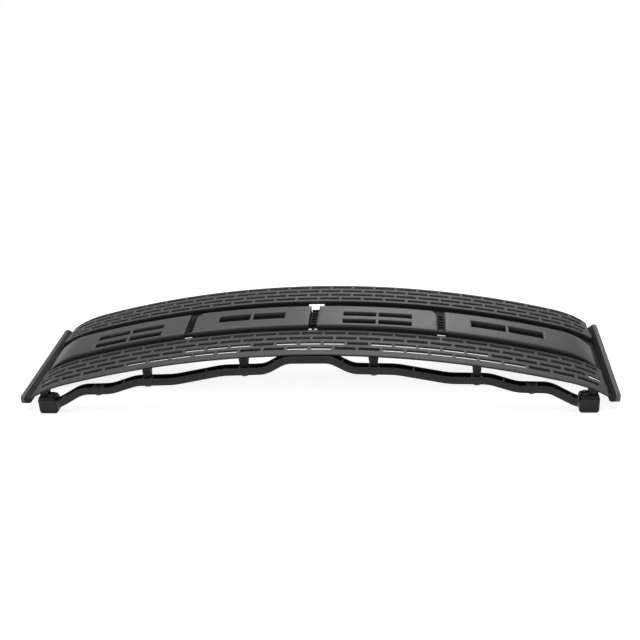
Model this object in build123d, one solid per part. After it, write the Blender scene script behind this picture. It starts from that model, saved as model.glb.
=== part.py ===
from build123d import *
import os
from math import sqrt

# Front grille for a pickup, lying on its back: X across the car, Y up the face of the grille,
# +Z out of the face (forwards on the car). Z = 0 is the plane that its feet stand on, and
# X = 0 is the mirror plane. Millimetres.

os.makedirs("parts", exist_ok=True)

# ---------------------------------------------------------------- driving dimensions
ARCH_RADIUS = 1900.0           # shallow middle of the arch
CORNER_RADIUS = 250.0          # tighter ends beside the side blades
CORNER_START_X = 470.0         # where the tighter end begins
PANEL_HALF_WIDTH = 540.0
SKIN = 3.0                     # moulded wall thickness
WEB_DEPTH = 14.0               # stiffening webs behind the edges of the panels

# Y ranges, bottom to top edge of the car's grille
RAIL_Y = (-148.0, -128.0)      # lower rail
LOWER_Y = (-137.0, -46.3)      # lower mesh panel
CHANNEL_Y = (-46.0, 65.7)      # recessed carrier behind the pads
PAD_Y = (-44.0, 28.0)          # the four raised pads
UPPER_Y = (66.0, 148.0)        # upper mesh panel
FLANGE_Y = (144.5, 147.5)      # top flange plate

# outer surface at X = 0 and at the low end of each Y range, and its climb along Y
LOWER_TOP = 119.7
LOWER_SLOPE = 0.035
CHANNEL_TOP = 122.0
PAD_TOP = 135.5
PAD_SLOPE = 0.08
UPPER_TOP = 133.0
UPPER_SLOPE = -0.035

# mesh of staggered slots, like bricks
SLOT_PITCH_X = 44.0
SLOT_PITCH_Y = 19.36
SLOT_LENGTH = 38.5
SLOT_HEIGHT = 9.4
SLOT_LIMIT_X = 531.0
ROW0_Y = -114.0

# pads: |X| where they start and end, and where the corner of their own arch is tighter
PAD_CORNER_RADIUS = 130.0
INNER_PAD_X = (8.0, 235.0)
OUTER_PAD_X = (250.0, 532.0)
INNER_WINDOW_X = (57.0, 187.0)
OUTER_WINDOW_X = (300.0, 436.0)
SINGLE_WINDOW_Y = [(-18.0, 5.0)]
STACKED_WINDOW_Y = [(-37.0, -23.0), (-11.0, 4.0)]
WINDOW_BAR = 6.0
PAD_CUT = 9.0                  # cut corner of the inner pads
INNER_STUDS = [(30, -30), (30, 18), (122, -30), (122, 18), (212, -30), (212, 18)]
OUTER_STUDS = [(274, -30), (274, 18), (368, -30), (368, 18), (462, -30), (462, 18)]
STUD_RADIUS = 2.5
GAP_X = (-242.5, 0.0, 242.5)   # middles of the gaps between pads
GAP_START_Y = (-40.0, -30.0, -40.0)
GAP_END_Y = 34.0
GAP_HALF_WIDTH = 7.2
OPENING_X = (-18.0, 13.0)      # see-through opening at the top of the middle gap
OPENING_Y = (36.0, 70.0)

# lower rail: height of its middle along X, on the +X side
RAIL_PATH = [(42, 112.4), (80, 90.2), (160, 88), (254, 69), (326, 67.4),
             (376, 50.2), (434, 48.8), (484, 19.8), (500, 17.5)]
RAIL_BEND = 38.0
RAIL_HEIGHT = 14.5
RAIL_WALL = 3.0
POST_X = (-304.0, -119.0, 119.0, 304.0)
SCREW_X = (-402.0, -304.0, -119.0, 119.0, 304.0, 402.0)
SCREW_Y = -136.5
SCREW_BOSS = (8.0, 2.5)        # radius and height of the bosses under the rail
SCREW_BOSS_Y = -138.0
RIB_X = (-470.0, -350.0, -190.0, -60.0, 60.0, 190.0, 350.0, 470.0)
SCREW_RADIUS = 2.0
SCREW_HEAD_RADIUS = 4.6
SCREW_HOLE_RADIUS = 2.3

# end boxes and corner brackets, the feet that the grille stands on
BOX_X = (487.0, 523.0)
BOX_Y = (-148.0, -121.0)
BOX_HEIGHT = 29.0
CAP_HEIGHT = 34.0
BOSS_HEIGHT = 37.0
BOSS_X = 498.0
BOX_BORE_RADIUS = 3.25         # inside the steel sleeve
SLEEVE_RADIUS = 4.75
END_POST_X = (504.0, 519.0)
BRACKET_X = (505.0, 535.0)
BRACKET_Y = (112.0, 142.0)

# top flange tabs
FLANGE_DEPTH = 32.0
FLANGE_HALF_WIDTH = 500.0
TAB_X = (-420.0, -260.0, -110.0, 110.0, 260.0, 420.0)
TAB_WIDTH = 26.0
TAB_REACH = 18.0
TAB_HOLE_RADIUS = 3.5
TAB_HOLE_INSET = 9.0           # from the tab's free end
CLIP_X = (-440.0, -290.0, -150.0, -50.0, 50.0, 150.0, 290.0, 440.0)
CLIP_STEEL = 1.0

# side blades
BLADE_Y = (-142.0, 141.0)
BLADE_SLOPE = 0.0285
BLADE_TAB_Y = (-100.0, 5.0, 96.0)
BLADE_TAB_X = 520.0            # inner end of the blade's ears


# ---------------------------------------------------------------- shared geometry
def arch_drop(x, corner_radius=CORNER_RADIUS):
    """Fall of the arch below its apex at X."""
    reach = min(abs(x), CORNER_START_X)
    drop = ARCH_RADIUS - sqrt(ARCH_RADIUS ** 2 - reach ** 2)
    if abs(x) > CORNER_START_X:
        sine = CORNER_START_X / ARCH_RADIUS
        centre_x = CORNER_START_X - corner_radius * sine
        lift = corner_radius * sqrt(1 - sine ** 2)
        drop += lift - sqrt(corner_radius ** 2 - (abs(x) - centre_x) ** 2)
    return drop


def arch_edges(half_width, height, corner_radius):
    """The arch as arcs in the XZ plane, left to right, with its apex at height."""
    def at(x):
        return (x, 0, height - arch_drop(x, corner_radius))
    inner = min(half_width, CORNER_START_X)
    edges = [ThreePointArc(at(-inner), at(0), at(inner))]
    if half_width > CORNER_START_X:
        middle = (half_width + CORNER_START_X) / 2
        edges.insert(0, ThreePointArc(at(-half_width), at(-middle), at(-inner)))
        edges.append(ThreePointArc(at(inner), at(middle), at(half_width)))
    return edges


def along_y(face, y_range, slope=0.0):
    """Extrude a face of the XZ plane over a range of Y, climbing by slope."""
    length = y_range[1] - y_range[0]
    solid = extrude(face, amount=length * sqrt(1 + slope ** 2), dir=(0, 1, slope))
    return Pos(0, y_range[0], 0) * solid


def arch_slab(y_range, top, bottom, half_width=PANEL_HALF_WIDTH, slope=0.0,
              corner_radius=CORNER_RADIUS):
    """Curved slab between two heights of the arch, which are given at its low Y end."""
    upper = arch_edges(half_width, top, corner_radius)
    lower = arch_edges(half_width, bottom, corner_radius)
    right = Line(upper[-1] @ 1, lower[-1] @ 1)
    left = Line(upper[0] @ 0, lower[0] @ 0)
    return along_y(make_face(upper + lower + [left, right]), y_range, slope)


def block(x_range, y_range, z_range):
    """Plain box between two corners."""
    size = [b - a for a, b in (x_range, y_range, z_range)]
    centre = [(a + b) / 2 for a, b in (x_range, y_range, z_range)]
    return Pos(*centre) * Box(*size)


def pillar(x, y, radius, z_range):
    """Upright cylinder between two heights."""
    height = z_range[1] - z_range[0]
    return Pos(x, y, (z_range[0] + z_range[1]) / 2) * Cylinder(radius, height)


def mirrored(shape):
    """The same shape on the other side of X = 0."""
    return mirror(shape, about=Plane.YZ)


def lower_top(y):
    """Surface height of the lower panel at X = 0."""
    return LOWER_TOP + LOWER_SLOPE * (y - LOWER_Y[0])


def write(name, shape):
    """Write one node's STEP file."""
    export_step(shape, f"parts/{name}.step")


# ---------------------------------------------------------------- mesh panels
def slot_cutters(rows):
    """Straight cutters for the staggered slots of the given rows."""
    cutters = []
    for row in rows:
        y = ROW0_Y + row * SLOT_PITCH_Y
        shift = 0.0 if row % 2 else SLOT_PITCH_X / 2
        for step in range(-13, 14):
            centre = step * SLOT_PITCH_X + shift
            left = max(centre - SLOT_LENGTH / 2, -SLOT_LIMIT_X)
            right = min(centre + SLOT_LENGTH / 2, SLOT_LIMIT_X)
            if right - left > SLOT_HEIGHT:
                y_range = (y - SLOT_HEIGHT / 2, y + SLOT_HEIGHT / 2)
                cutters.append(block((left, right), y_range, (0, 160)))
    return cutters


def lower_mesh_panel():
    """Lower band: skin, rolled bottom lip and the stiffening web along its top edge."""
    panel = arch_slab(LOWER_Y, LOWER_TOP, LOWER_TOP - SKIN, slope=LOWER_SLOPE)
    panel -= slot_cutters(range(4))
    lip = (LOWER_Y[0], LOWER_Y[0] + SKIN)
    panel += arch_slab(lip, LOWER_TOP - SKIN, LOWER_TOP - 4, slope=LOWER_SLOPE)
    web = (LOWER_Y[1] - SKIN, LOWER_Y[1])
    root = lower_top(web[0]) - SKIN
    return panel + arch_slab(web, root, root - WEB_DEPTH, slope=LOWER_SLOPE)


def opening():
    """Cutter for the see-through opening in the middle of the channel and the upper wall."""
    stem = block((OPENING_X[0] + 6, OPENING_X[1] - 6), (OPENING_Y[0], OPENING_Y[1] - 8), (90, 124))
    bar = block(OPENING_X, (OPENING_Y[1] - 12, OPENING_Y[1]), (90, UPPER_TOP - 7))
    return stem + bar


def upper_mesh_panel():
    """Upper band with cut top corners, and a wall down behind the channel, open at the middle."""
    panel = arch_slab(UPPER_Y, UPPER_TOP, UPPER_TOP - SKIN, slope=UPPER_SLOPE)
    panel -= slot_cutters(range(10, 14))
    wall = (UPPER_Y[0], UPPER_Y[0] + SKIN)
    panel += arch_slab(wall, UPPER_TOP - SKIN, CHANNEL_TOP - WEB_DEPTH, slope=UPPER_SLOPE)
    for side in (-1, 1):
        corner = Polyline((side * 518, 149), (side * 545, 149), (side * 545, 139.5), close=True)
        panel -= extrude(make_face(corner), 160)
    return panel - opening()


# ---------------------------------------------------------------- channel and pads
def stud_places():
    """X and Y of every pad stud."""
    one_side = INNER_STUDS + OUTER_STUDS
    return one_side + [(-x, y) for x, y in one_side]


def centre_channel():
    """Recessed carrier: mesh behind the pads, edge webs, stud holes and the middle opening."""
    floor = arch_slab(CHANNEL_Y, CHANNEL_TOP, CHANNEL_TOP - SKIN)
    floor -= slot_cutters(range(4, 7))
    for web in ((CHANNEL_Y[0], CHANNEL_Y[0] + SKIN), (CHANNEL_Y[1] - SKIN, CHANNEL_Y[1])):
        floor += arch_slab(web, CHANNEL_TOP - SKIN, CHANNEL_TOP - WEB_DEPTH)
    floor -= opening()
    holes = [pillar(x, y, STUD_RADIUS + 0.3, (20, 130)) for x, y in stud_places()]
    return floor - holes


def pad_windows(inner, stacked):
    """X and Y ranges of the windows of one pad on the +X side."""
    low, high = INNER_WINDOW_X if inner else OUTER_WINDOW_X
    middle = (low + high) / 2
    halves = [(low, middle - WINDOW_BAR / 2), (middle + WINDOW_BAR / 2, high)]
    rows = STACKED_WINDOW_Y if stacked else SINGLE_WINDOW_Y
    return [(half, row) for row in rows for half in halves]


def pad_outline(inner, stacked, wall):
    """Pad from the front, less a wall all round: a long plate with windows. Inner pads have a cut corner."""
    start, end = INNER_PAD_X if inner else OUTER_PAD_X
    left, right = start + wall, end - wall
    low, high = PAD_Y[0] + wall, PAD_Y[1] - wall
    cut = PAD_CUT - 0.6 * wall
    tip = [(right, high - 2 * cut), (right - cut, high)] if inner else [(right, high)]
    points = [(left, low), (right, low)] + tip + [(left, high)]
    face = make_face(Polyline(*points, close=True))
    for (x0, x1), (y0, y1) in pad_windows(inner, stacked):
        window = Rectangle(x1 - x0 + 2 * wall, y1 - y0 + 2 * wall)
        face -= Pos((x0 + x1) / 2, (y0 + y1) / 2) * window
    return face


def pad(inner, stacked):
    """Raised hollow pad on the +X side, with windows, skirts down to the channel and studs behind."""
    def under(height):
        return arch_slab(PAD_Y, height, 0, slope=PAD_SLOPE, corner_radius=PAD_CORNER_RADIUS)
    shell = extrude(pad_outline(inner, stacked, 0), 170) & under(PAD_TOP)
    shell -= extrude(pad_outline(inner, stacked, SKIN), 170) & under(PAD_TOP - SKIN)
    shell -= arch_slab((PAD_Y[0] - 1, PAD_Y[1] + 1), CHANNEL_TOP + 0.1, 0)
    for x, y in INNER_STUDS if inner else OUTER_STUDS:
        roof = PAD_TOP + PAD_SLOPE * (y - PAD_Y[0]) - arch_drop(x, PAD_CORNER_RADIUS) - 1
        shell += pillar(x, y, STUD_RADIUS, (CHANNEL_TOP - arch_drop(x) - 8, roof))
    return shell


def pad_push_nuts():
    """Push nuts on the studs, behind the channel."""
    nuts = []
    for x, y in stud_places():
        seat = CHANNEL_TOP - SKIN - arch_drop(abs(x) + 6.5) - 0.1
        nut = pillar(x, y, 6.0, (seat - 1.2, seat)) + pillar(x, y, 4.0, (seat - 3.0, seat - 1.2))
        nuts.append(nut - pillar(x, y, STUD_RADIUS + 0.05, (seat - 5, seat + 1)))
    return Compound(children=nuts)


def gap_bracket(x, start_y):
    """Ribbed black strip on the channel floor between two pads, from start_y up."""
    y_range = (start_y, GAP_END_Y)
    strip = arch_slab(y_range, CHANNEL_TOP + 7, CHANNEL_TOP + 0.1, half_width=300)
    strip &= block((x - GAP_HALF_WIDTH, x + GAP_HALF_WIDTH), y_range, (0, 160))
    floor = CHANNEL_TOP - arch_drop(x) + 2.5
    for index in range(5):
        y = GAP_END_Y - 8 - index * 12
        strip -= block((x - 4.5, x + 4.5), (y - 4, y + 4), (floor, 160))
    return strip


# ---------------------------------------------------------------- lower support
def rail_height_at(x):
    """Height of the middle of the rail, without its bends."""
    points = [(0, RAIL_PATH[0][1])] + RAIL_PATH
    for (x0, z0), (x1, z1) in zip(points, points[1:]):
        if x0 <= abs(x) <= x1:
            return z0 + (z1 - z0) * (abs(x) - x0) / (x1 - x0)
    return RAIL_PATH[-1][1]


def rail_band(below, above):
    """Face in the XZ plane from below to above the middle of the rail."""
    points = [(-x, z) for x, z in reversed(RAIL_PATH)] + RAIL_PATH
    edges = []
    for lift in (-below, above):
        edges.append(FilletPolyline(*[(x, z + lift) for x, z in points], radius=RAIL_BEND))
    left = Line(edges[0] @ 0, edges[1] @ 0)
    right = Line(edges[0] @ 1, edges[1] @ 1)
    return Rot(90, 0, 0) * make_face(edges[0].edges() + edges[1].edges() + [left, right])


def lower_rail():
    """Wavy channel rail, open at the front, with solid lands where screws go through."""
    half = RAIL_HEIGHT / 2
    rail = along_y(rail_band(half, half), RAIL_Y)
    inner_y = (RAIL_Y[0] + RAIL_WALL, RAIL_Y[1] - RAIL_WALL)
    groove = along_y(rail_band(half - RAIL_WALL, half + 2), inner_y)
    for x in SCREW_X:
        groove -= block((x - 10, x + 10), RAIL_Y, (0, 140))
    for x in RIB_X:
        groove -= block((x - 1.5, x + 1.5), RAIL_Y, (0, 140))
    rail -= groove
    for x in SCREW_X:
        under = rail_height_at(x) - half
        rail += pillar(x, SCREW_BOSS_Y, SCREW_BOSS[0], (under - SCREW_BOSS[1], under + 2))
        rail -= pillar(x, SCREW_Y, SCREW_HEAD_RADIUS + 0.6, (0, under - 0.2))
    rebate = (LOWER_Y[0] - 0.6, RAIL_Y[1] + 1)
    rail -= arch_slab(rebate, 200, LOWER_TOP - 4.6, slope=LOWER_SLOPE)
    for side in (-1, 1):
        ends = sorted((side * (BOX_X[0] - 0.3), side * (BOX_X[1] + 3)))
        rail -= block(ends, (RAIL_Y[0] - 1, BOX_Y[1] + 1), (-1, 60))
    return rail - [pillar(x, SCREW_Y, SCREW_HOLE_RADIUS, (0, 140)) for x in SCREW_X]


def post(x, rail):
    """Tapered, ribbed post from the rail up to the back of the lower panel."""
    low, high = rail_height_at(x) + RAIL_HEIGHT / 2 - 2, 125.0
    foot, head = 6.5, 11.0
    corners = [(x - foot, low), (x + foot, low), (x + head, high), (x - head, high)]
    y_range = (LOWER_Y[0] - 4.0, RAIL_Y[1])
    shape = along_y(Rot(90, 0, 0) * make_face(Polyline(*corners, close=True)), y_range)
    for offset in (-4.0, 0.0, 4.0):
        shape += block((x + offset - 0.8, x + offset + 0.8), (y_range[0] - 1.5, y_range[0]), (low, high))
    shape -= arch_slab((-150, -100), 200, LOWER_TOP - 4.5, half_width=400, slope=LOWER_SLOPE)
    return shape - rail - pillar(x, SCREW_Y, SCREW_RADIUS + 0.1, (0, low + 18))


def rail_screws():
    """Pan-head screws from behind the rail into the posts, and two into the rail's lands."""
    screws = []
    for x in SCREW_X:
        seat = rail_height_at(x) - RAIL_HEIGHT / 2 - 0.4
        head = pillar(x, SCREW_Y, SCREW_HEAD_RADIUS, (seat - 3.0, seat))
        head = fillet(head.edges().group_by(Axis.Z)[0], 1.4)
        shank = pillar(x, SCREW_Y, SCREW_RADIUS, (seat, seat + (28 if x in POST_X else 12)))
        screws.append(head + shank)
    return Compound(children=screws)


def end_box():
    """Hollow box at the end of the rail, on the +X side: rounded foot, cap, and a bolt boss."""
    middle_y = (BOX_Y[0] + BOX_Y[1]) / 2
    body = block(BOX_X, BOX_Y, (0, BOX_HEIGHT))
    foot_edges = body.edges().filter_by(Axis.Y).group_by(Axis.Z)[0]
    body = fillet(foot_edges, 6)
    body = fillet(body.edges().filter_by(Axis.Z), 4)
    cap = block((BOX_X[0] + 1, BOX_X[1] - 1), (BOX_Y[0] + 1, BOX_Y[1] - 1), (BOX_HEIGHT, CAP_HEIGHT))
    cap = fillet(cap.edges().filter_by(Axis.Z), 5)
    cap = fillet(cap.edges().group_by(Axis.Z)[-1], 2)
    boss = pillar(BOSS_X, middle_y, 8.5, (BOX_HEIGHT, BOSS_HEIGHT))
    pocket = block((BOSS_X + 9.5, BOX_X[1] - SKIN), (BOX_Y[0] + SKIN, BOX_Y[1] - SKIN), (-1, BOX_HEIGHT - 2))
    return body + cap + boss - pocket - pillar(BOSS_X, middle_y, SLEEVE_RADIUS, (-1, 60))


def end_box_sleeve():
    """Steel sleeve pressed into the boss on the +X side, which takes the bolt's clamping load."""
    middle_y = (BOX_Y[0] + BOX_Y[1]) / 2
    tube = pillar(BOSS_X, middle_y, SLEEVE_RADIUS, (0, BOSS_HEIGHT))
    return tube - pillar(BOSS_X, middle_y, BOX_BORE_RADIUS, (-1, 60))


def end_post(box):
    """Short ribbed post between the end box and the lower panel, on the +X side."""
    y_range = (LOWER_Y[0] - 2.0, BOX_Y[1] - 1)
    shape = block(END_POST_X, y_range, (BOX_HEIGHT, 70))
    middle = sum(END_POST_X) / 2
    shape += block((middle - 2, middle + 2), (y_range[0] - 2, y_range[0]), (BOX_HEIGHT, 70))
    shape -= arch_slab((-150, -100), 200, LOWER_TOP - 4.5, slope=LOWER_SLOPE)
    bolt_clearance = pillar(BOSS_X, (BOX_Y[0] + BOX_Y[1]) / 2, SLEEVE_RADIUS + 2, (0, 80))
    return shape - box - bolt_clearance


# ---------------------------------------------------------------- top flange and brackets
def upper_rail():
    """Plate behind the top edge of the upper panel, with bolt tabs for the body of the car."""
    under = UPPER_TOP + UPPER_SLOPE * (FLANGE_Y[0] - UPPER_Y[0]) - SKIN - 0.3
    deep = under - FLANGE_DEPTH
    rail = arch_slab(FLANGE_Y, under, deep, half_width=FLANGE_HALF_WIDTH)
    rail += arch_slab((FLANGE_Y[0] - 12, FLANGE_Y[0]), deep + SKIN, deep, half_width=FLANGE_HALF_WIDTH - 10)
    for x in TAB_X:
        root = deep - arch_drop(x)
        tab = block((x - TAB_WIDTH / 2, x + TAB_WIDTH / 2), FLANGE_Y, (root - TAB_REACH, root + 8))
        tab = fillet(tab.edges().filter_by(Axis.Y).group_by(Axis.Z)[0], 6)
        rail += tab
        centre = (FLANGE_Y[0] + FLANGE_Y[1]) / 2
        hole = Pos(x, centre, root - TAB_REACH + TAB_HOLE_INSET) * Rot(90, 0, 0)
        rail -= hole * Cylinder(TAB_HOLE_RADIUS, 10)
    return rail


def flange_clip_nuts():
    """U-shaped spring nuts pushed over the bolt tabs, one on each."""
    under = UPPER_TOP + UPPER_SLOPE * (FLANGE_Y[0] - UPPER_Y[0]) - SKIN - 0.3
    nuts = []
    for x in TAB_X:
        end = under - FLANGE_DEPTH - arch_drop(x) - TAB_REACH
        outer_y = (FLANGE_Y[0] - CLIP_STEEL - 0.1, FLANGE_Y[1] + 0.1 + CLIP_STEEL)
        nut = block((x - 8, x + 8), (outer_y[0], outer_y[1] - 1.6), (end - CLIP_STEEL - 0.1, end + 16))
        nut -= block((x - 9, x + 9), (FLANGE_Y[0] - 0.1, FLANGE_Y[1] + 0.1), (end - 0.1, end + 17))
        hole_place = Pos(x, FLANGE_Y[0], end + TAB_HOLE_INSET) * Rot(90, 0, 0)
        nut += Pos(x, outer_y[0] - 1.5, end + TAB_HOLE_INSET) * Rot(90, 0, 0) * Cylinder(5.5, 3)
        nuts.append(nut - hole_place * Cylinder(TAB_HOLE_RADIUS + 0.2, 40))
    return Compound(children=nuts)


def panel_clips():
    """U-shaped spring clips that hold the webs of the panels to the webs of the channel."""
    seams = [(LOWER_Y[1] - SKIN, CHANNEL_Y[0] + SKIN), (CHANNEL_Y[1] - SKIN, UPPER_Y[0] + SKIN)]
    clips = []
    for x in CLIP_X:
        for low, high in seams:
            foot = CHANNEL_TOP - WEB_DEPTH - 0.9 if high > 0 else lower_top(low) - SKIN - WEB_DEPTH - 0.2
            outer_y = (low - CLIP_STEEL - 0.15, high + CLIP_STEEL + 0.15)
            clip = arch_slab(outer_y, foot + 9, foot - CLIP_STEEL)
            clip -= arch_slab((low - 0.15, high + 0.15), foot + 10, foot)
            clips.append(clip & block((x - 6, x + 6), outer_y, (0, 140)))
    return Compound(children=clips)


def corner_bracket():
    """Foot under the top corner, on the +X side: plate, leg and a screw hole in its sole."""
    leg = block(BRACKET_X, (BRACKET_Y[0], BRACKET_Y[0] + SKIN), (0, 70))
    sole = block(BRACKET_X, BRACKET_Y, (0, SKIN))
    ribs = block((BRACKET_X[0], BRACKET_X[0] + SKIN), BRACKET_Y, (0, 70))
    ribs += block((BRACKET_X[1] - SKIN, BRACKET_X[1]), BRACKET_Y, (0, 70))
    shape = leg + sole + ribs
    shape -= arch_slab((60, 148), 200, UPPER_TOP - SKIN - 0.4, slope=UPPER_SLOPE)
    middle_x = (BRACKET_X[0] + BRACKET_X[1]) / 2
    middle_y = (BRACKET_Y[0] + BRACKET_Y[1]) / 2
    return shape - pillar(middle_x, middle_y, 2.75, (-1, 10))


# ---------------------------------------------------------------- side blades
def side_blade():
    """Hollow blade along the +X side, with a slanted inner face and tabs under the panels."""
    section = [(540.4, 19), (540.4, 21.5), (551.5, 31.5), (553.5, 33),
               (559, 33), (561, 31), (561, 17), (543, 17)]
    pocket = [(545.5, 16), (545.5, 21.8), (553, 28.6), (558.5, 28.6), (558.5, 16)]
    blade = along_y(Rot(90, 0, 0) * make_face(Polyline(*section, close=True)), BLADE_Y, BLADE_SLOPE)
    low_end = blade.edges().group_by(Axis.Y)[0]
    inner = (BLADE_Y[0] + SKIN, BLADE_Y[1] - SKIN)
    hollow = along_y(Rot(90, 0, 0) * make_face(Polyline(*pocket, close=True)), inner, BLADE_SLOPE)
    blade = chamfer(low_end.filter_by(lambda e: e.center().Z > 25), 2.0)
    blade -= Pos(0, 0, BLADE_SLOPE * SKIN) * hollow
    for y in BLADE_TAB_Y:
        blade += blade_tab(y)
    return blade


def panel_back(y):
    """Height, at X = 0, of the back of whichever panel is over Y."""
    if y < LOWER_Y[1]:
        return lower_top(y) - SKIN
    if y < UPPER_Y[0]:
        return CHANNEL_TOP - SKIN
    return UPPER_TOP + UPPER_SLOPE * (y - UPPER_Y[0]) - SKIN


def blade_tab(y):
    """Ear of the blade that lies against the back of a panel, with its screw hole."""
    y_range = (y - 9, y + 9)
    top = panel_back(y) - 0.6
    tab = arch_slab(y_range, top, top - SKIN, half_width=545)
    tab &= block((BLADE_TAB_X, 545), y_range, (0, 90))
    tab += block((540.4, 547), y_range, (18 + BLADE_SLOPE * 140, top - arch_drop(543) - 1))
    return tab - pillar(528, y, SCREW_HOLE_RADIUS, (0, 90))


def blade_screws():
    """Screws from behind through the ears of the blades."""
    screws = []
    for y in BLADE_TAB_Y:
        seat = panel_back(y) - 0.6 - SKIN - arch_drop(532) - 0.4
        head = pillar(528, y, 4.0, (seat - 2.4, seat))
        head = fillet(head.edges().group_by(Axis.Z)[0], 1.0)
        screw = head + pillar(528, y, SCREW_RADIUS, (seat, panel_back(y) - arch_drop(528) - 1.2))
        screws += [screw, mirrored(screw)]
    return Compound(children=screws)


# ---------------------------------------------------------------- write the nodes
def build():
    """Make every node and write it."""
    rail = lower_rail()
    box = end_box()
    write("lower_mesh_panel", lower_mesh_panel())
    write("upper_mesh_panel", upper_mesh_panel())
    write("centre_channel", centre_channel())
    write("pad_outer_left", mirrored(pad(False, True)))
    write("pad_inner_left", mirrored(pad(True, False)))
    write("pad_inner_right", pad(True, True))
    write("pad_outer_right", pad(False, False))
    write("pad_push_nuts", pad_push_nuts())
    write("panel_clips", panel_clips())
    for name, x, start_y in zip(("left", "centre", "right"), GAP_X, GAP_START_Y):
        write(f"gap_bracket_{name}", gap_bracket(x, start_y))
    write("lower_rail", rail)
    write("rail_screws", rail_screws())
    for index, x in enumerate(POST_X, start=1):
        write(f"lower_post_{index}", post(x, rail))
    pairs = {"end_box": box, "end_box_sleeve": end_box_sleeve(), "end_post": end_post(box),
             "corner_bracket": corner_bracket(), "side_blade": side_blade()}
    for name, shape in pairs.items():
        write(f"{name}_right", shape)
        write(f"{name}_left", mirrored(shape))
    write("upper_rail", upper_rail())
    write("flange_clip_nuts", flange_clip_nuts())
    write("blade_screws", blade_screws())


build()
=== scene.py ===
from math import cos, radians, sin, sqrt

import bmesh
import bpy
import numpy as np
from mathutils import Matrix, Vector


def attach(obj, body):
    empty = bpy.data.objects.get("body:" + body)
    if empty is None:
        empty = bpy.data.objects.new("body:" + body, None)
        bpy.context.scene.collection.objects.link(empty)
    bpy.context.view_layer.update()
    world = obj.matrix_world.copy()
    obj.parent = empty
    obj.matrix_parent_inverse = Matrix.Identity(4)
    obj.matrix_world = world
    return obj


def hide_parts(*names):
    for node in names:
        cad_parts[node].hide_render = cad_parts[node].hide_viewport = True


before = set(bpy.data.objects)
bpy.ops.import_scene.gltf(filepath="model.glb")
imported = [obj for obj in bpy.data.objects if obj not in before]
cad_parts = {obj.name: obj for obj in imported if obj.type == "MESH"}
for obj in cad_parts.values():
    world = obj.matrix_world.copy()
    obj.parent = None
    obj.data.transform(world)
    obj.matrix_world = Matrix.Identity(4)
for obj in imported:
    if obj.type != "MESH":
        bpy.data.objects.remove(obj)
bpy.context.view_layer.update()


# ------------------------------------------------------------------ camera, floor and light
# The grille lies on its back on a pale floor, with its lower edge towards the camera. The lens
# is a long one, a little to the +X side and about 25 degrees above the floor. A large softbox
# hangs overhead, a second one stands behind, and the floor glows like a lit sweep.
CAMERA_PLACE = (0.209, -1.692, 0.935)
CAMERA_ELEVATION = radians(25.5)
CAMERA_YAW = radians(6.71)
CAMERA_ROLL = radians(3.55)
LENS_MM = 54.73


def camera_axes(elevation, roll):
    """Matrix of a camera that looks along +Y and down by elevation, rolled about its own view."""
    forward = Vector((0, cos(elevation), -sin(elevation)))
    side = Vector((1, 0, 0))
    down = forward.cross(side)
    right = cos(roll) * side + sin(roll) * down
    up = sin(roll) * side - cos(roll) * down
    return Matrix([right, up, -forward]).transposed().to_4x4()


camera_data = bpy.data.cameras.new("camera")
camera_data.lens = LENS_MM
camera = bpy.data.objects.new("camera", camera_data)
turned = Matrix.Rotation(CAMERA_YAW, 4, "Z") @ camera_axes(CAMERA_ELEVATION, CAMERA_ROLL)
camera.matrix_world = Matrix.Translation(CAMERA_PLACE) @ turned
bpy.context.collection.objects.link(camera)
bpy.context.scene.camera = camera


def mesh_object(name, vertices, faces, painted_shade=None, sharp_angle=40.0):
    """Make a mesh object from arrays: weld the seams, face it outwards and smooth it below an angle.

    The optional number per vertex paints shade into the colour, from 0 where none is painted to 1 where the
    painted shade is darkest."""
    data = bpy.data.meshes.new(name)
    data.from_pydata(np.asarray(vertices).tolist(), [], [list(face) for face in faces])
    if painted_shade is not None:
        data.attributes.new("painted_shade", "FLOAT", "POINT").data.foreach_set("value", np.asarray(painted_shade, float))
    shape = bmesh.new()
    shape.from_mesh(data)
    bmesh.ops.remove_doubles(shape, verts=shape.verts, dist=2e-6)
    bmesh.ops.recalc_face_normals(shape, faces=shape.faces)
    shape.to_mesh(data)
    shape.free()
    data.polygons.foreach_set("use_smooth", [True] * len(data.polygons))
    data.set_sharp_from_angle(angle=radians(sharp_angle))
    item = bpy.data.objects.new(name, data)
    bpy.context.collection.objects.link(item)
    return item


class Socket:
    """A shader output. Arithmetic on it adds the Math node for that sum."""

    def __init__(self, finish, link):
        self.finish = finish
        self.link = link

    def _math(self, operation, first, second):
        return self.finish.node("ShaderNodeMath", {"operation": operation}, {0: first, 1: second})

    def __add__(self, other):
        return self._math("ADD", self, other)

    def __mul__(self, other):
        return self._math("MULTIPLY", self, other)

    __radd__ = __add__
    __rmul__ = __mul__


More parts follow.
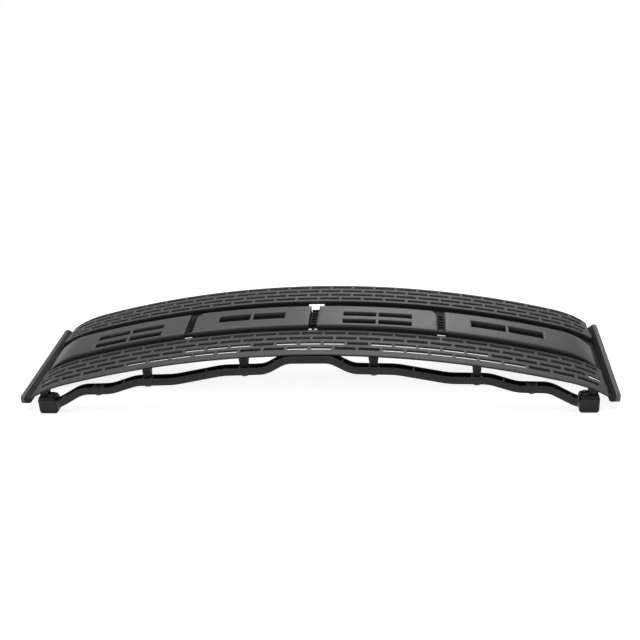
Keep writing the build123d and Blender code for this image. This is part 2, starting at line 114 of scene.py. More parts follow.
class Finish:
    """A material: constants go straight on the surface shader, and node() adds any other node."""

    def __init__(self, name, **constants):
        self.material = bpy.data.materials.new(name)
        self.material.use_nodes = True
        self.tree = self.material.node_tree
        self.surface = self.tree.nodes["Principled BSDF"]
        for key, value in constants.items():
            self.surface.inputs[key.replace("_", " ")].default_value = value

    def node(self, kind, settings=None, inputs=None, output=0):
        """Add one node: its settings first, then a value or a link for each named input."""
        made = self.tree.nodes.new(kind)
        for key, value in (settings or {}).items():
            setattr(made, key, value)
        for key, value in (inputs or {}).items():
            if isinstance(value, Socket):
                self.tree.links.new(value.link, made.inputs[key])
            else:
                made.inputs[key].default_value = value
        return Socket(self, made.outputs[output])

    def feed(self, key, value):
        """Link a varying value to a socket of the surface shader."""
        self.tree.links.new(value.link, self.surface.inputs[key])

    def noise(self, scale, detail=3.0, rough=0.5):
        """Noise on object coordinates, about 0 to 1; scale is waves per metre."""
        place = self.node("ShaderNodeTexCoord", output="Object")
        settings = {"Vector": place, "Scale": scale, "Detail": detail, "Roughness": rough}
        return self.node("ShaderNodeTexNoise", {}, settings)

    def edges(self, gain=1.0):
        """Mask of worn convex edges, 0 to 1, from how pointed the surface is, broken up by noise."""
        pointed = self.node("ShaderNodeNewGeometry", output="Pointiness")
        ramp = {"From Min": 0.51, "From Max": 0.6, "To Min": 0.0, "To Max": gain}
        return self.node("ShaderNodeMapRange", {"clamp": True}, {"Value": pointed, **ramp}) * self.noise(90.0)

    def stretch(self, value, low, high):
        """Spread a value from low..high over 0 to 1, clamped."""
        limits = {"Value": value, "From Min": low, "From Max": high}
        return self.node("ShaderNodeMapRange", {"clamp": True}, limits)

    def blend(self, amount, first, second):
        """Mix two colours by a varying amount."""
        return self.node("ShaderNodeMix", {"data_type": "RGBA"}, {0: amount, 6: first, 7: second}, 2)

    def bump(self, height, strength, distance):
        """Use a height as bump on the surface."""
        inputs = {"Strength": strength, "Distance": distance, "Height": height}
        self.feed("Normal", self.node("ShaderNodeBump", {}, inputs))


def grey(level):
    """An opaque grey of one linear level, a touch cool."""
    return (level, level, level * 1.02, 1.0)


FLOOR_HALF = 20.0
floor_corners = [(-FLOOR_HALF, -FLOOR_HALF, 0), (FLOOR_HALF, -FLOOR_HALF, 0),
                 (FLOOR_HALF, FLOOR_HALF, 0), (-FLOOR_HALF, FLOOR_HALF, 0)]
floor = mesh_object("floor", floor_corners, [(0, 1, 2, 3)])
floor_finish = Finish("pale_floor", Roughness=0.95, Specular_IOR_Level=0.1, Emission_Strength=0.84,
                      Emission_Color=(1, 1, 1, 1))
floor_finish.feed("Base Color", floor_finish.blend(floor_finish.noise(3.0), grey(0.48), grey(0.52)))
floor.data.materials.append(floor_finish.material)

world = bpy.data.worlds.new("studio")
world.use_nodes = True
world.node_tree.nodes["Background"].inputs["Color"].default_value = (1, 1, 1, 1)
world.node_tree.nodes["Background"].inputs["Strength"].default_value = 0.3
bpy.context.scene.world = world
bpy.context.scene.view_settings.view_transform = "Standard"


def softbox(name, place, size, power):
    """A square area light at a place, pointing at the middle of the grille."""
    data = bpy.data.lights.new(name, "AREA")
    data.size = size
    data.energy = power
    light = bpy.data.objects.new(name, data)
    aim = Vector(place) - Vector((0, 0, 0.1))
    light.rotation_mode = "QUATERNION"
    light.rotation_quaternion = aim.to_track_quat("Z", "Y")
    light.location = place
    bpy.context.collection.objects.link(light)


softbox("overhead_softbox", (-0.3, 0.1, 2.6), 2.4, 60)
softbox("rear_softbox", (0.5, 2.6, 2.2), 1.6, 30)


# ------------------------------------------------------------------ mesh panels
# Two injection-moulded bands of dark charcoal plastic with staggered slots, like bricks, and
# rounded slot rims and a collar behind each slot. The lower one ends in a rolled lip, the upper
# one has a wall down to the channel. Spring clips and corner screws hold them.
MM = 0.001
BODY = "root"
ARCH_RADIUS = 1900.0
CORNER_START = 470.0
CORNER_RADIUS = 250.0
PITCH = (44.0, 19.36)
SLOT_HALF = (19.25, 4.7)
SLOT_CORNER = 1.3
RIM = 0.9
SKIN = 3.0
ROW0_Y = -114.0
PANEL_HALF = 539.5
SLOT_LIMIT = 531.0
LOWER_Y = (-137.0, -46.3)
UPPER_Y = (66.0, 148.0)
LOWER_TOP = 119.7              # surface heights at X = 0 and the low Y end, and the climb along Y
LOWER_SLOPE = 0.035
UPPER_TOP = 133.0
UPPER_SLOPE = -0.035
CHANNEL_TOP = 122.0
WEB_DEPTH = 14.0
LIP_DEPTH = 4.0
OPENING_X = (-18.0, 13.0)
OPENING_TOP = 7.0              # from the upper panel's surface down to the opening
# rows, and stretches of X in them, whose shallow collars let light through at a low angle
OPEN_STRETCHES = {0: [(-345, -130), (-40, 50), (140, 390)],
                  1: [(-230, -110), (-50, 60), (110, 330)]}
OPEN_COLLAR = 1.4
DEEP_COLLAR = 3.2
EAR_COLLAR = 0.4
EAR_ROWS = (1, 11)             # rows whose ends lie over an ear
COLLAR_END_X = 505.0
COLLAR_WALL = 1.0
CORNER_CUT = (512.0, 28.0, 6.5)    # |X| where the top corner starts to fall, its width and its fall


def arch_drop(x, corner_radius=CORNER_RADIUS):
    """Fall of the arch below its apex: a wide circle, then a smaller one tangent to it past the corner."""
    x = np.abs(x)
    sine = CORNER_START / ARCH_RADIUS
    middle = ARCH_RADIUS - np.sqrt(ARCH_RADIUS ** 2 - np.minimum(x, CORNER_START) ** 2)
    centre = CORNER_START - corner_radius * sine
    lift = corner_radius * sqrt(1 - sine ** 2)
    beyond = lift - np.sqrt(corner_radius ** 2 - (np.maximum(x, CORNER_START) - centre) ** 2)
    return middle + beyond


def lower_height(y):
    """The lower band climbs gently from its bottom lip."""
    return LOWER_TOP + LOWER_SLOPE * (y - LOWER_Y[0])


def upper_height(y):
    """The upper band leans back towards the bonnet."""
    return UPPER_TOP + UPPER_SLOPE * (y - UPPER_Y[0])


def row_edge(row):
    """Y of the lower edge of a row of cells."""
    return ROW0_Y + (row - 0.5) * PITCH[1]


def shared_lines():
    """X of every vertex along a row's edge, the same for all rows so that they weld."""
    half = PITCH[0] / 2
    lines = (np.arange(-26, 27)[:, None] * half + np.array([0, 1.2, half / 2, half - 1.2])).ravel()
    inside = lines[np.abs(lines) < PANEL_HALF - 1.5]
    return np.unique(np.round(np.concatenate([[-PANEL_HALF], inside, [PANEL_HALF]]), 3))


LINES = shared_lines()


def cell_loops(xs, slot):
    """Points round one cell, points round its slot, one for one, and the way out from the slot.

    The cell is a rectangle and the slot a rectangle with rounded corners. A cell corner pairs with
    the middle of a corner arc, its neighbours with the arc's ends, and the rest spread evenly."""
    left, right = slot
    half_y = PITCH[1] / 2
    low = -SLOT_HALF[1]
    arc = SLOT_CORNER * (1 - sqrt(0.5))
    straight = np.interp(xs[1:-1], [xs[1], xs[-2]], [left + SLOT_CORNER, right - SLOT_CORNER])
    near = half_y - 1.0
    bottom = [(x, -half_y) for x in xs]
    top = [(x, half_y) for x in xs[::-1]]
    up = [(xs[-1], y) for y in (-near, 0, near)]
    fall = [(xs[0], y) for y in (near, 0, -near)]
    cell = np.array(bottom + up + top + fall)
    slot_low = [(left + arc, low + arc)] + [(x, low) for x in straight] + [(right - arc, low + arc)]
    slot_high = [(x, -y) for x, y in slot_low[::-1]]
    reach = -low - SLOT_CORNER
    slot_up = [(right, y) for y in (-reach, 0, reach)]
    slot_fall = [(left, y) for y in (reach, 0, -reach)]
    outline = np.array(slot_low + slot_up + slot_high + slot_fall)
    inset = [left + SLOT_CORNER, low + SLOT_CORNER], [right - SLOT_CORNER, -low - SLOT_CORNER]
    away = outline - np.clip(outline, *inset)
    away /= np.maximum(np.linalg.norm(away, axis=1, keepdims=True), 1e-9)
    return cell, outline, away


def ring_faces(rings, count):
    """Quads between successive closed rings of count points."""
    ring, point = np.meshgrid(np.arange(rings - 1), np.arange(count), indexing="ij")
    after = (point + 1) % count
    a = ring * count + point
    b = ring * count + after
    return np.stack([a, b, b + count, a + count], axis=-1).reshape(-1, 4)


def closed_tube(rings):
    """Closed surface over a stack of equal rings, with a flat face at each end."""
    count = rings.shape[1]
    last = (len(rings) - 1) * count
    caps = [list(range(count)), list(range(last, last + count))]
    return rings.reshape(-1, 3), ring_faces(len(rings), count).tolist() + caps


def grid_faces(columns, rows):
    """Quads of a grid of columns by rows points, numbered column by column."""
    i, j = np.meshgrid(np.arange(columns - 1), np.arange(rows - 1), indexing="ij")
    a = (i * rows + j).ravel()
    return np.stack([a, a + rows, a + rows + 1, a + 1], axis=-1)


def collar_depth(row, x):
    """Depth of the collar behind a slot: shallow over the ears, and in the open stretches of the low rows."""
    if abs(x) > COLLAR_END_X and row in EAR_ROWS:
        return EAR_COLLAR
    is_open = any(start < x < end for start, end in OPEN_STRETCHES.get(row, []))
    return OPEN_COLLAR if is_open else DEEP_COLLAR


def slotted_cell(xs, slot, collar):
    """Front, rounded rim, slot walls, collar and back of one cell, as rings from cell to slot and back."""
    cell, outline, away = cell_loops(xs, slot)
    layers = [(cell, 0), (outline + away * RIM, 0), (outline + away * RIM * 0.3, 0.3 * RIM), (outline, RIM)]
    layers += [(outline, SKIN + collar), (outline + away * COLLAR_WALL, SKIN + collar)]
    layers += [(outline + away * COLLAR_WALL, SKIN), (cell, SKIN)]
    points = np.concatenate([np.column_stack([loop, np.full(len(loop), depth)]) for loop, depth in layers])
    return points, ring_faces(len(layers), len(cell))


def plain_cell(xs):
    """Front and back of a stretch with no slot, as two grids."""
    half_y = PITCH[1] / 2
    ys = np.array([-half_y, 1 - half_y, 0, half_y - 1, half_y])
    grid_x, grid_y = np.meshgrid(xs, ys, indexing="ij")
    front = np.column_stack([grid_x.ravel(), grid_y.ravel(), np.zeros(grid_x.size)])
    faces = grid_faces(len(xs), len(ys))
    return np.concatenate([front, front + [0, 0, SKIN]]), np.concatenate([faces, faces + len(front)])


def slotted_row(row):
    """All cells of one row, cut off at the panel's ends, as a list of (points, faces)."""
    edges = np.arange(-13, 14) * PITCH[0] + (PITCH[0] / 2 if row % 2 else 0.0)
    edges = np.concatenate([[-PANEL_HALF], edges[np.abs(edges) < PANEL_HALF - 1], [PANEL_HALF]])
    margin = PITCH[0] / 2 - SLOT_HALF[0]
    cells = []
    for low, high in zip(edges[:-1], edges[1:]):
        xs = LINES[(LINES > low - 0.01) & (LINES < high + 0.01)]
        slot = (max(low + margin, -SLOT_LIMIT), min(high - margin, SLOT_LIMIT))
        wide = slot[1] - slot[0] > 2 * SLOT_HALF[1]
        collar = collar_depth(row, (low + high) / 2)
        points, faces = slotted_cell(xs, slot, collar) if wide else plain_cell(xs)
        cells.append((points + [0, ROW0_Y + row * PITCH[1], 0], faces))
    return cells


def edge_band(profile):
    """A band carried along all the shared lines: profile is (y, depth) points across it."""
    profile = np.array(profile)
    count = len(profile)
    across = np.tile(profile, (len(LINES), 1))
    return np.column_stack([np.repeat(LINES, count), across]), grid_faces(len(LINES), count)


def end_walls(rows):
    """Walls between front and back at both ends of the rows."""
    steps = np.array([0, 1, PITCH[1] / 2, PITCH[1] - 1])
    ys = np.append((row_edge(rows[0]) + np.arange(len(rows))[:, None] * PITCH[1] + steps).ravel(),
                   row_edge(rows[-1] + 1))
    walls = []
    for x in (-PANEL_HALF, PANEL_HALF):
        grid_y, depth = np.meshgrid(ys, [0.0, SKIN], indexing="ij")
        points = np.column_stack([np.full(grid_y.size, x), grid_y.ravel(), depth.ravel()])
        walls.append((points, grid_faces(len(ys), 2)))
    return walls


def joined(pieces):
    """Join (points, faces) pieces into one pair of arrays, renumbering the faces."""
    starts = np.cumsum([0] + [len(points) for points, faces in pieces[:-1]])
    points = np.concatenate([points for points, faces in pieces])
    faces = [(np.asarray(face) + start).tolist() for start, (_, each) in zip(starts, pieces) for face in each]
    return points, faces


def wall_length(x_range, profile):
    """Closed length of wall between two X: profile is (y, depth) points round it."""
    inside = LINES[(LINES > x_range[0]) & (LINES < x_range[1])]
    xs = np.concatenate([x_range[:1], inside, x_range[1:]])
    profile = np.array(profile)
    across = np.broadcast_to(profile, (len(xs),) + profile.shape)
    along = np.broadcast_to(xs[:, None, None], across.shape[:2] + (1,))
    return closed_tube(np.concatenate([along, across], axis=-1))


def rounded_corner(x, y):
    """Y after the top corners fall away: by the square of the way along the cut, and only near the top."""
    start, width, fall = CORNER_CUT
    along = np.clip((np.abs(x) - start) / width, 0, 1)
    return y - fall * along ** 2 * np.clip((y - (UPPER_Y[1] - width)) / width, 0, 1)


def panel(name, rows, height, low_profile, high_profile, extra=()):
    """A whole slotted panel; height(y) is its surface at X = 0, and depth is measured down from it."""
    pieces = [cell for row in rows for cell in slotted_row(row)]
    pieces += [edge_band(low_profile), edge_band(high_profile)] + end_walls(rows) + list(extra)
    points, faces = joined(pieces)
    points[:, 1] = rounded_corner(points[:, 0], points[:, 1])
    z = height(points[:, 1]) - arch_drop(points[:, 0]) - points[:, 2]
    placed = np.column_stack([points[:, 0], points[:, 1], z]) * MM
    # Painted shade: the colour darkens with depth behind the front face, over slot walls, collars and the
    # back.
    return mesh_object(name, placed, faces, np.clip(points[:, 2] / SKIN, 0, 1))


low, high = LOWER_Y
lip = LIP_DEPTH
web = SKIN + WEB_DEPTH
lower_lip = [(row_edge(0), 0), (low + 3, 0), (low + 1.4, 0.3), (low + 0.4, 1.2), (low, 2.4), (low, lip - 0.4),
             (low + 0.4, lip), (low + 2.6, lip), (low + 3, lip - 0.4), (low + 3, SKIN), (row_edge(0), SKIN)]
high = row_edge(4)
lower_web = [(high, 0), (high + 0.08, 0.2), (high + 0.12, 0.8), (high + 0.12, web - 0.3), (high - 0.2, web),
             (high - 2.7, web), (high - 3, web - 0.3), (high - 3, SKIN), (high, SKIN)]
lower_mesh = panel("lower_mesh", range(4), lower_height, lower_lip, lower_web)
low, high = UPPER_Y
wall = upper_height(low) - CHANNEL_TOP + WEB_DEPTH
deep = OPENING_TOP
upper_wall = [(row_edge(10), 0), (low + 1.2, 0), (low + 0.35, 0.35), (low, 1.2), (low, deep - 0.3),
              (low + 0.3, deep), (low + 2.7, deep), (low + 3, deep - 0.3), (low + 3, SKIN),
              (row_edge(10), SKIN)]
wall_section = [(low + 0.15, deep - 1), (low + 2.85, deep - 1), (low + 2.85, wall), (low + 0.15, wall)]
wall_parts = [wall_length((-PANEL_HALF, OPENING_X[0]), wall_section),
              wall_length((OPENING_X[1], PANEL_HALF), wall_section)]
upper_rim = [(row_edge(14), 0), (high - 1.2, 0), (high - 0.35, 0.35), (high, 1.2), (high, SKIN - 0.4),
             (high - 0.4, SKIN), (row_edge(14), SKIN)]
upper_mesh = panel("upper_mesh", range(10, 14), upper_height, upper_wall, upper_rim, wall_parts)

charcoal = Finish("grained_charcoal", Specular_IOR_Level=0.3)
grain = charcoal.noise(1400.0, 2.0)
cloud = charcoal.noise(14.0, 4.0)
# Painted shade: slot walls, collars and the back darken to near black with depth, as shade in the recesses.
behind = charcoal.node("ShaderNodeAttribute", {"attribute_name": "painted_shade"}, output="Fac")
face_tone = charcoal.blend(cloud, grey(0.060), grey(0.078))
worn_tone = charcoal.blend(charcoal.edges(0.7), face_tone, grey(0.13))
charcoal.feed("Base Color", charcoal.blend(charcoal.stretch(behind, 0.15, 0.7), worn_tone, grey(0.022)))
charcoal.feed("Roughness", 0.44 + 0.2 * grain)
charcoal.bump(grain, 0.5, 0.0002)
for item, node in ((lower_mesh, "lower_mesh_panel"), (upper_mesh, "upper_mesh_panel")):
    item.data.materials.append(charcoal.material)
    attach(item, BODY)
    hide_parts(node)


# ------------------------------------------------------------------ raised pads
# Four hollow pads of satin grey plastic with square windows, soft rounded edges and a slight crown,
# drawn here as solid down to the channel. Push nuts hold their studs behind the channel.
PAD_Y = (-44.0, 28.0)
PAD_CORNER_RADIUS = 130.0
INNER_PAD = (8.0, 235.0)
OUTER_PAD = (250.0, 532.0)
INNER_WINDOW = (57.0, 187.0)
OUTER_WINDOW = (300.0, 436.0)
SINGLE_WINDOW = [(-18.0, 5.0)]
STACKED_WINDOW = [(-37.0, -23.0), (-11.0, 4.0)]
WINDOW_BAR = 6.0
PAD_TOP = 135.5                # surface height at X = 0 and the low Y end, and its climb along Y
PAD_SLOPE = 0.08
PAD_ROUND = 1.8
PAD_CROWN = 1.3
CUT_WIDTH = 10.0
CUT_LENGTH = 20.0
INNER_STUDS = (30, 122, 212)
OUTER_STUDS = (274, 368, 462)
STUD_Y = (-30, 18)
STUD_RADIUS = 2.5


def lines_between(breaks, step):
    """Grid lines from the first to the last break, with four close lines each side of every break."""
    near = PAD_ROUND * np.array([0, 0.08, 0.3, 0.6, 1.0])
    close = np.add.outer(np.array(breaks), np.concatenate([near, -near])).ravel()
    low, high = min(breaks), max(breaks)
    filled = np.linspace(low, high, int((high - low) / step) + 2)
    clear = np.min(np.abs(filled[:, None] - np.array(breaks)), axis=1) > PAD_ROUND * 1.4
    lines = np.concatenate([close, filled[clear]])
    return np.unique(np.round(lines[(lines >= low) & (lines <= high)], 4))


def outside(x, y, window):
    """Distance from points to a rectangle, zero or less inside it."""
    (x0, x1), (y0, y1) = window
    across = np.maximum(x0 - x, x - x1)
    along = np.maximum(y0 - y, y - y1)
    beyond = np.hypot(np.maximum(across, 0), np.maximum(along, 0))
    return np.where(np.maximum(across, along) > 0, beyond, np.maximum(across, along))


def grid_solid(xs, ys, keep, top, bottom):
    """Closed solid over the kept cells of a grid: top and bottom are heights at every line crossing."""
    count = len(ys)
    index = np.arange(len(xs) * count).reshape(len(xs), count)
    quads = np.stack([index[:-1, :-1], index[1:, :-1], index[1:, 1:], index[:-1, 1:]], axis=-1)[keep]
    below = len(xs) * count
    faces = [quads, quads[:, ::-1] + below]
    padded = np.pad(keep, 1)
    for axis in (0, 1):
        change = np.diff(padded.astype(int), axis=axis)
        i, j = np.nonzero(change[:, 1:-1] if axis == 0 else change[1:-1, :])
        a = index[i, j]
        b = index[i, j + 1] if axis == 0 else index[i + 1, j]
        faces.append(np.stack([a, b, b + below, a + below], axis=-1))
    return np.concatenate([top, bottom]), np.concatenate(faces)


def stud(x, y, radius, z_range, sides=20):
    """Closed upright cylinder: two rings of points and two flat ends."""
    angle = np.linspace(0, 2 * np.pi, sides, endpoint=False)
    ring = np.column_stack([x + radius * np.cos(angle), y + radius * np.sin(angle)])
    points = np.concatenate([np.column_stack([ring, np.full(sides, z)]) for z in z_range])
    caps = [list(range(sides)), list(range(sides, 2 * sides))]
    return points, ring_faces(2, sides).tolist() + caps


def pad(name, side, inner, stacked):
    """A pad on a grid: crowned top that rounds down at every edge, straight sides, windows and studs.

    Fall of the rounding at distance d from an edge is r - sqrt(r^2 - (r - d)^2)."""
    start, end = INNER_PAD if inner else OUTER_PAD
    low, high = INNER_WINDOW if inner else OUTER_WINDOW
    middle = (low + high) / 2
    halves = [(low, middle - WINDOW_BAR / 2), (middle + WINDOW_BAR / 2, high)]
    rows = STACKED_WINDOW if stacked else SINGLE_WINDOW
    windows = [(half, row) for row in rows for half in halves]
    xs = lines_between([start, end] + [x for half in halves for x in half], 9.0)
    ys = lines_between(list(PAD_Y) + [y for row in rows for y in row], 5.0)
    grid_x, grid_y = np.meshgrid(xs, ys, indexing="ij")
    centre_x, centre_y = np.meshgrid((xs[1:] + xs[:-1]) / 2, (ys[1:] + ys[:-1]) / 2, indexing="ij")
    keep = np.ones(centre_x.shape, bool)
    from_ends = np.minimum(grid_x - start, end - grid_x)
    edge = np.minimum(from_ends, np.minimum(grid_y - PAD_Y[0], PAD_Y[1] - grid_y))
    for window in windows:
        keep &= outside(centre_x, centre_y, window) > 0
        edge = np.minimum(edge, np.maximum(outside(grid_x, grid_y, window), 0))
    rounding = PAD_ROUND - np.sqrt(PAD_ROUND ** 2 - np.clip(PAD_ROUND - edge, 0, PAD_ROUND) ** 2)
    near_cut = np.clip((grid_y - (PAD_Y[1] - CUT_LENGTH)) / CUT_LENGTH, 0, 1) ** 2
    toward = np.clip(((grid_x - start) / (end - start) - 0.85) / 0.15, 0, 1)
    x = grid_x - CUT_WIDTH * near_cut * toward * inner
    across = (grid_y - sum(PAD_Y) / 2) / (PAD_Y[1] - PAD_Y[0]) * 2
    climb = PAD_SLOPE * (grid_y - PAD_Y[0]) - PAD_CROWN * across ** 2
    height = PAD_TOP + climb - arch_drop(x, PAD_CORNER_RADIUS)
    bottom = CHANNEL_TOP + 0.1 - arch_drop(x)
    top = np.maximum(height - rounding, bottom + 0.2)
    flat_x, flat_y = side * x.ravel(), grid_y.ravel()
    upper = np.column_stack([flat_x, flat_y, top.ravel()])
    lower = np.column_stack([flat_x, flat_y, bottom.ravel()])
    pieces = [grid_solid(xs, ys, keep, upper, lower)]
    for stud_x in INNER_STUDS if inner else OUTER_STUDS:
        floor_z = CHANNEL_TOP - arch_drop(stud_x)
        pieces += [stud(side * stud_x, y, STUD_RADIUS, (floor_z - 8, floor_z + 0.6)) for y in STUD_Y]
    points, faces = joined(pieces)
    # Painted shade: the foot of the pad, where it meets the channel, is marked for darkening.
    shaded_foot = points[:, 2] < CHANNEL_TOP + 0.15 - arch_drop(points[:, 0])
    item = mesh_object(name, points * MM, faces, shaded_foot)
    shape = bmesh.new()
    shape.from_mesh(item.data)
    bmesh.ops.delete(shape, geom=[vertex for vertex in shape.verts if not vertex.link_faces], context="VERTS")
    shape.to_mesh(item.data)
    shape.free()
    return item


satin = Finish("satin_grey", Specular_IOR_Level=0.32)
peel = satin.noise(260.0, 2.0)
pad_tone = satin.blend(satin.noise(9.0), grey(0.068), grey(0.082))
worn_pad = satin.blend(satin.edges(0.8), pad_tone, grey(0.14))
# Painted shade: the pad's sides darken to near black towards its foot on the channel.
base_shade = satin.node("ShaderNodeAttribute", {"attribute_name": "painted_shade"}, output="Fac")
satin.feed("Base Color", satin.blend(satin.stretch(base_shade, 0.0, 0.4), worn_pad, grey(0.018)))
satin.feed("Roughness", 0.34 + 0.14 * satin.noise(60.0))
satin.bump(peel, 0.12, 0.0001)
for name, side, inner, stacked in (("outer_left", -1, False, True), ("inner_left", -1, True, False),
                                   ("inner_right", 1, True, True), ("outer_right", 1, False, False)):
    item = pad(f"raised_pad_{name}", side, inner, stacked)
    item.data.materials.append(satin.material)
    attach(item, BODY)
    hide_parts(f"pad_{name}")


# ------------------------------------------------------------------ side blades
# A hollow blade of charcoal plastic along each end, drawn here as solid, with a slanted inner face painted
# near black as shade, a flat rim on top painted lighter as a highlight, and rounded ends. Three ears under
# the panels take screws.
BLADE_Y = (-142.0, 141.0)
BLADE_SLOPE = 0.0285
BLADE_END = 9.0
RIM_START_X = 552.0            # the slanted inner face, painted dark as shade, ends and the rim, painted lighter as a highlight, starts
EAR_Y = (-100.0, 5.0, 96.0)
EAR_HALF = 9.0
EAR_X = (520.0, 545.0)
EAR_HOLE = (528.0, 2.3)


def rounded(corners, radius, steps=5):
    """Closed outline with every corner replaced by a quadratic curve that starts radius before it."""
    corners = np.array(corners, float)
    before = np.roll(corners, 1, axis=0) - corners
    after = np.roll(corners, -1, axis=0) - corners
    length_before = np.linalg.norm(before, axis=1)
    length_after = np.linalg.norm(after, axis=1)
    reach = np.minimum(radius, 0.45 * np.minimum(length_before, length_after))
    first = corners + before * (reach / length_before)[:, None]
    last = corners + after * (reach / length_after)[:, None]
    t = np.linspace(0, 1, steps)[None, :, None]
    curve = (1 - t) ** 2 * first[:, None] + 2 * t * (1 - t) * corners[:, None] + t ** 2 * last[:, None]
    return curve.reshape(-1, 2)


def blade(name, side):
    """Blade section (x, z) carried along Y on a slope, drawn in towards its middle at both ends.

    Within BLADE_END of an end, the section is scaled by sqrt(1 - (1 - t)^2) with t from 0 to 1."""
    corners = [(540.6, 19), (540.6, 22.5), (551.5, 32), (553.5, 33.2), (558.8, 33.2), (561, 31),
               (561, 17.4), (543, 17.4)]
    section = rounded(corners, 2.0)
    ends = BLADE_END * (1 - np.cos(np.linspace(0, np.pi / 2, 7)))
    ys = np.concatenate([BLADE_Y[0] + ends, np.linspace(-120, 120, 13), BLADE_Y[1] - ends[::-1]])
    from_end = np.minimum(ys - BLADE_Y[0], BLADE_Y[1] - ys) / BLADE_END
    pulled = BLADE_END * (1 - np.sqrt(1 - (1 - np.clip(from_end, 0, 1)) ** 2))
    middle = np.array([(545 + 561) / 2, 25.0])
    reach = np.linalg.norm(section - middle, axis=1)
    scale = 1 - pulled[:, None] / np.maximum(reach, BLADE_END + 1)[None, :]
    placed = middle + (section - middle)[None] * scale[..., None]
    x = side * placed[..., 0]
    y = np.broadcast_to(ys[:, None], x.shape)
    z = placed[..., 1] + BLADE_SLOPE * (y - BLADE_Y[0])
    pieces = [closed_tube(np.stack([x, y, z], axis=-1))]
    for ear_y in EAR_Y:
        pieces.append(ear(side, ear_y))
    points, faces = joined(pieces)
    # Painted shade: the inner face, inside RIM_START_X, is marked to be coloured near black.
    return mesh_object(name, points * MM, faces, np.abs(points[:, 0]) < RIM_START_X)


def panel_back(y):
    """Height, at X = 0, of the back of whichever panel is over Y."""
    if y < LOWER_Y[1]:
        return lower_height(y) - SKIN
    return CHANNEL_TOP - SKIN if y < UPPER_Y[0] else upper_height(y) - SKIN


def ear(side, y):
    """Ear as a ring of quads between its outline and its screw hole, front and back, under a panel."""
    angle = np.linspace(0, 2 * np.pi, 32, endpoint=False) + np.pi / 32
    direction = np.column_stack([np.cos(angle), np.sin(angle)])
    centre = np.array([EAR_HOLE[0], y])
    room = np.where(direction[:, 0] > 0, EAR_X[1] - centre[0], centre[0] - EAR_X[0])
    reach = np.minimum(room / np.abs(direction[:, 0]), EAR_HALF / np.abs(direction[:, 1]))
    outline = centre + direction * reach[:, None]
    hole = centre + direction * EAR_HOLE[1]
    top = panel_back(y) - 0.6
    rings = []
    for loop, drop in ((outline, 0), (hole, 0), (hole, SKIN), (outline, SKIN), (outline, 0)):
        rings.append(np.column_stack([side * loop[:, 0], loop[:, 1], top - drop - arch_drop(loop[:, 0])]))
    return np.concatenate(rings), ring_faces(len(rings), len(angle))


blade_finish = Finish("grained_blade", Specular_IOR_Level=0.2)
blade_grain = blade_finish.noise(1200.0, 2.0)
# Painted light: the rim and outer face get a lighter tone as a highlight, and the inner face near black as
# shade.
rim_highlight_tone = blade_finish.blend(blade_finish.noise(11.0), grey(0.085), grey(0.105))
inner_face_shade = blade_finish.node("ShaderNodeAttribute", {"attribute_name": "painted_shade"}, output="Fac")
rim_highlight_and_face_shade = blade_finish.blend(inner_face_shade, rim_highlight_tone, grey(0.008))
blade_finish.feed("Base Color", blade_finish.blend(blade_finish.edges(0.8), rim_highlight_and_face_shade, grey(0.14)))
blade_finish.feed("Roughness", 0.4 + 0.2 * blade_grain)
blade_finish.bump(blade_grain, 0.5, 0.0002)
for name, side in (("left", -1), ("right", 1)):
    item = blade(f"end_blade_{name}", side)
    item.data.materials.append(blade_finish.material)
    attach(item, BODY)
    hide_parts(f"side_blade_{name}")


# ------------------------------------------------------------------ lower rail
# A wavy channel of gloss black plastic, open at the top, that ties the posts and end boxes
# together. Solid lands and thin ribs cross it, and bosses under it take the post screws.
RAIL_CORNERS = [(42, 112.4), (80, 90.2), (160, 88), (254, 69), (326, 67.4),
                (376, 50.2), (434, 48.8), (484, 19.8), (500, 17.5)]
RAIL_BEND = 12.0               # half length of each bend along X
RAIL_HALF = 7.25
RAIL_Y = (-148.0, -128.0)
RAIL_WALL = 3.0
RAIL_END_X = 486.5
LAND_X = (-402.0, -304.0, -119.0, 119.0, 304.0, 402.0)
RIB_X = (-470.0, -350.0, -190.0, -60.0, 60.0, 190.0, 350.0, 470.0)
BOSS = (-138.0, 8.0, 2.5)      # Y, radius and height of the bosses underneath


def rail_middle(x):
    """Height and slope of the rail's middle: straight runs whose slope changes over each bend.

    A change of slope c at a corner adds c * ramp, where the ramp is 0 before the bend, t after it
    and (t + w)^2 / 4w across it, for t from -w to w."""
    corners = np.array(RAIL_CORNERS, float)
    slopes = np.concatenate([[0], np.diff(corners[:, 1]) / np.diff(corners[:, 0])])
    changes = np.diff(slopes)
    t = np.abs(x)[..., None] - corners[:-1, 0]
    bend = np.clip(t, -RAIL_BEND, RAIL_BEND)
    ramp = (bend + RAIL_BEND) ** 2 / (4 * RAIL_BEND) + np.maximum(t - RAIL_BEND, 0)
    steep = (bend + RAIL_BEND) / (2 * RAIL_BEND)
    return corners[0, 1] + (changes * ramp).sum(-1), (changes * steep).sum(-1) * np.sign(x)


def along_rail(section, x_range, step=4.0):
    """A closed (y, offset) section carried along the rail, its offsets square to the middle line."""
    xs = np.linspace(*x_range, max(int((x_range[1] - x_range[0]) / step), 1) + 1)
    z, slope = rail_middle(xs)
    length = np.sqrt(1 + slope ** 2)
    offset = section[:, 1]
    x = xs[:, None] - (slope / length)[:, None] * offset
    z = z[:, None] + (1 / length)[:, None] * offset
    y = np.broadcast_to(section[:, 0], x.shape)
    lip_back = LOWER_Y[0] - 0.9
    under_lip = LOWER_TOP - LIP_DEPTH - 0.6 - arch_drop(np.clip(x, -500, 500))
    z = np.where(y > lip_back, np.minimum(z, under_lip), z)
    x = np.clip(x, -RAIL_END_X, RAIL_END_X)
    return closed_tube(np.stack([x, y, z], axis=-1))


